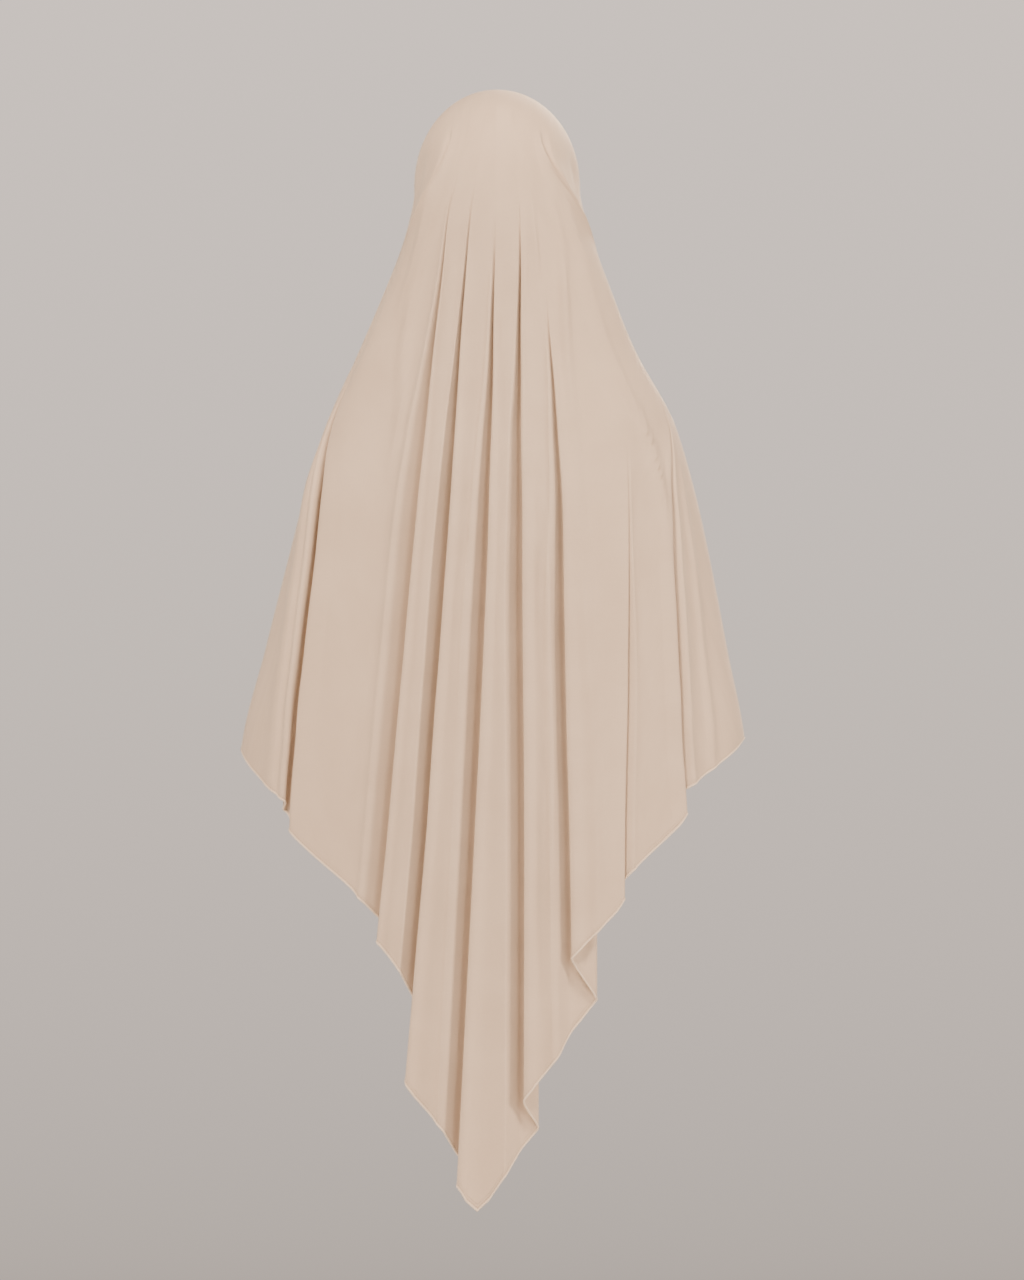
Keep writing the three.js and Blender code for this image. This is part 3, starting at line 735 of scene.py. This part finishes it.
def hemMaterialOf(name):
    # The jersey with a row of stitches along the turned edge, and a painted highlight on its rolled rim
    material = jerseyMaterial(name)
    nodes, links = material.node_tree.nodes, material.node_tree.links
    shader = nodes["Principled BSDF"]
    cloth = nodes.new("ShaderNodeUVMap")
    cloth.uv_map = "cloth"
    place = nodes.new("ShaderNodeSeparateXYZ")
    links.new(cloth.outputs["UV"], place.inputs["Vector"])

    def ranged(value, low, high):
        node = nodes.new("ShaderNodeMapRange")
        node.interpolation_type = "SMOOTHSTEP"
        node.inputs["From Min"].default_value = low
        node.inputs["From Max"].default_value = high
        links.new(value, node.inputs["Value"])
        return node.outputs["Result"]

    def combine(operation, first, second=None):
        return mathNode(material.node_tree, operation, first, second)

    t = turnedEdge
    fromRow = combine("ABSOLUTE", combine("SUBTRACT", place.outputs["Y"], t["row"]))
    onRow = ranged(fromRow, t["rowWidth"], t["rowWidth"] * 0.3)
    along = combine("PINGPONG", place.outputs["X"], t["stitch"] / 2)
    onStitch = combine("MULTIPLY", onRow, ranged(along, t["stitch"] * 0.12, t["stitch"] * 0.2))
    # Painted highlight: the rolled rim of the turned edge is coloured paler, as where it catches the light.
    rimPlace = hemSettings["width"] * uvScale
    fromRim = combine("ABSOLUTE", combine("SUBTRACT", place.outputs["Y"], rimPlace))
    rimHighlight = nodes.new("ShaderNodeMix")
    rimHighlight.data_type = "RGBA"
    links.new(ranged(fromRim, t["rimHighlight"], t["rimHighlight"] * 0.8), rimHighlight.inputs["Factor"])
    links.new(shader.inputs["Base Color"].links[0].from_socket, rimHighlight.inputs["A"])
    rimHighlight.inputs["B"].default_value = (*t["rimHighlightColor"], 1)
    thread = nodes.new("ShaderNodeMix")
    thread.data_type = "RGBA"
    links.new(onStitch, thread.inputs["Factor"])
    links.new(rimHighlight.outputs["Result"], thread.inputs["A"])
    thread.inputs["B"].default_value = (*t["thread"], 1)
    links.new(thread.outputs["Result"], shader.inputs["Base Color"])
    groove = combine("SUBTRACT", combine("MULTIPLY", onStitch, 1.6), onRow)
    bump = nodes.new("ShaderNodeBump")
    bump.inputs["Strength"].default_value = t["bump"]
    bump.inputs["Distance"].default_value = t["depth"]
    links.new(groove, bump.inputs["Height"])
    links.new(shader.inputs["Normal"].links[0].from_socket, bump.inputs["Normal"])
    links.new(bump.outputs["Normal"], shader.inputs["Normal"])
    return material


veilMaterial = jerseyMaterial("sandJersey")
hemMaterial = hemMaterialOf("sandHem")

veil = gridPiece("veilCloth", clothRows)
wall = veil.modifiers.new("wall", "SOLIDIFY")
wall.thickness = veilSettings["wall"] * mm
wall.offset = 0
veil.data.materials.append(veilMaterial)


def bandPiece(name, rows, thickness):
    # A turned edge: a flat band that ends in a rolled rim
    outward = outwardOf(rows)
    half = np.array(hemSettings["wall"])[:, None, None] * thickness / 2
    section = np.concatenate([rows + outward * half, (rows - outward * half)[::-1]])
    across = np.array(hemSettings["across"]) * hemSettings["width"]
    piece = gridPiece(name, section, closedSection=np.concatenate([across, 2 * across[-1] - across[::-1]]))
    piece.data.materials.append(hemMaterial)
    return piece


bottomHem = bandPiece("bottomHem", hemRows, hemSettings["thickness"])
around = np.roll(clothRows[0], -1, axis=0) - np.roll(clothRows[0], 1, axis=0)
around /= np.linalg.norm(around, axis=-1, keepdims=True)
onward = clothRows[0] - clothRows[1]
onward -= around * (onward * around).sum(-1, keepdims=True)
onward /= np.linalg.norm(onward, axis=-1, keepdims=True)
faceShares = np.array(hemSettings["across"])[:, None, None]
faceRows = clothRows[0] + onward * (hemSettings["gap"] + faceShares * hemSettings["width"])
faceHem = bandPiece("faceHem", faceRows, hemSettings["thickness"])

for piece, node, slot in (
    (veil, "veil", "sand_jersey"),
    (bottomHem, "bottom_hem", "turned_hem"),
    (faceHem, "face_hem", "turned_hem"),
):
    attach(piece, "root")
    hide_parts(node)
print("cloth made")

# Studio, in metres. A pixel of the picture stands for "pixel" metres at the veil, and the crown's middle lies
# "crownX" pixels across and "crownPixel" down.
studio = {
    "floorDrop": 1.66, "floorRadius": 2.6, "floorColor": (0.72, 0.7, 0.68),
    "aroundColor": (0.92, 0.87, 0.82), "aroundStrength": 0.27,
    "wallLow": (0.58, 0.5, 0.445), "wallHigh": (1.06, 0.91, 0.815), "wallCurve": 0.7,
    "cameraDistance": 40, "sensor": 36, "pixel": 0.0010714,
    "pixelsAcross": 1024, "pixelsDown": 1280, "crownPixel": 90, "crownX": 499,
}


def addFloor():
    bm = bmesh.new()
    bmesh.ops.create_circle(bm, cap_ends=True, segments=96, radius=studio["floorRadius"])
    mesh = bpy.data.meshes.new("floor")
    bm.to_mesh(mesh)
    bm.free()
    floor = bpy.data.objects.new("floor", mesh)
    floor.location.z = -studio["floorDrop"]
    bpy.context.scene.collection.objects.link(floor)
    material = bpy.data.materials.new("paleFloor")
    material.use_nodes = True
    shader = material.node_tree.nodes["Principled BSDF"]
    shader.inputs["Base Color"].default_value = (*studio["floorColor"], 1)
    shader.inputs["Roughness"].default_value = 0.9
    mesh.materials.append(material)


def addLight(name, place, target, size, power, color=(1, 0.745, 0.525)):
    data = bpy.data.lights.new(name, "AREA")
    data.shape = "DISK"
    data.size = size
    data.energy = power
    data.color = color
    light = bpy.data.objects.new(name, data)
    light.location = place
    light.rotation_euler = (Vector(target) - Vector(place)).to_track_quat("-Z", "Y").to_euler()
    bpy.context.scene.collection.objects.link(light)


addFloor()
addLight("keyLight", (-2, -4, 2.6), (0, 0, -0.3), 1.4, 372)
addLight("fillLight", (2.6, -4.6, 0.3), (0, 0, -0.6), 2.4, 90)
addLight("rightRim", (4.4, -1.2, 0.4), (0, 0, -0.5), 1.6, 185)
addLight("leftRim", (-4.6, -0.6, 0.4), (0, 0, -0.5), 1.6, 55)
addLight("crownLight", (0.1, -0.9, 2.4), (0, 0, -0.2), 1.8, 85)
addLight("frontLight", (1.3, 4.3, 1.2), (0, 0, -0.4), 2, 260)


def addWall():
    # What the camera sees behind the veil is a pale wall, with painted shade that makes it a little darker
    # towards the floor. What lights the veil from all around is dimmer and plain.
    world = bpy.data.worlds.new("wall")
    bpy.context.scene.world = world
    world.use_nodes = True
    nodes, links = world.node_tree.nodes, world.node_tree.links
    around = nodes["Background"]
    around.inputs["Color"].default_value = (*studio["aroundColor"], 1)
    around.inputs["Strength"].default_value = studio["aroundStrength"]
    direction = nodes.new("ShaderNodeTexCoord")
    height = nodes.new("ShaderNodeSeparateXYZ")
    span = nodes.new("ShaderNodeMapRange")
    shade = nodes.new("ShaderNodeMix")
    shade.data_type = "RGBA"
    backdrop = nodes.new("ShaderNodeBackground")
    path = nodes.new("ShaderNodeLightPath")
    either = nodes.new("ShaderNodeMixShader")
    links.new(direction.outputs["Generated"], height.inputs["Vector"])
    links.new(height.outputs["Z"], span.inputs["Value"])
    reach = studio["pixelsDown"] / 2 * studio["pixel"] / studio["cameraDistance"]
    span.inputs["From Min"].default_value = -reach
    span.inputs["From Max"].default_value = reach
    curve = nodes.new("ShaderNodeMath")
    curve.operation = "POWER"
    curve.inputs[1].default_value = studio["wallCurve"]
    links.new(span.outputs["Result"], curve.inputs[0])
    links.new(curve.outputs["Value"], shade.inputs["Factor"])
    # Painted shade: the wall's colour runs darker towards the floor.
    shade.inputs["A"].default_value = (*studio["wallLow"], 1)
    shade.inputs["B"].default_value = (*studio["wallHigh"], 1)
    links.new(shade.outputs["Result"], backdrop.inputs["Color"])
    links.new(path.outputs["Is Camera Ray"], either.inputs[0])
    links.new(around.outputs["Background"], either.inputs[1])
    links.new(backdrop.outputs["Background"], either.inputs[2])
    links.new(either.outputs["Shader"], nodes["World Output"].inputs["Surface"])


def addCamera():
    # Level with the middle of the picture, straight behind the veil
    data = bpy.data.cameras.new("camera")
    data.sensor_width = studio["sensor"]
    data.lens = studio["sensor"] * studio["cameraDistance"] / (studio["pixelsDown"] * studio["pixel"])
    camera = bpy.data.objects.new("camera", data)
    middleX = (studio["pixelsAcross"] / 2 - studio["crownX"]) * studio["pixel"]
    middleHeight = -(studio["pixelsDown"] / 2 - studio["crownPixel"]) * studio["pixel"]
    camera.location = (middleX, -studio["cameraDistance"], middleHeight)
    camera.rotation_euler = (math.radians(90), 0, 0)
    bpy.context.scene.collection.objects.link(camera)
    bpy.context.scene.camera = camera


addWall()
addCamera()
print("studio made")
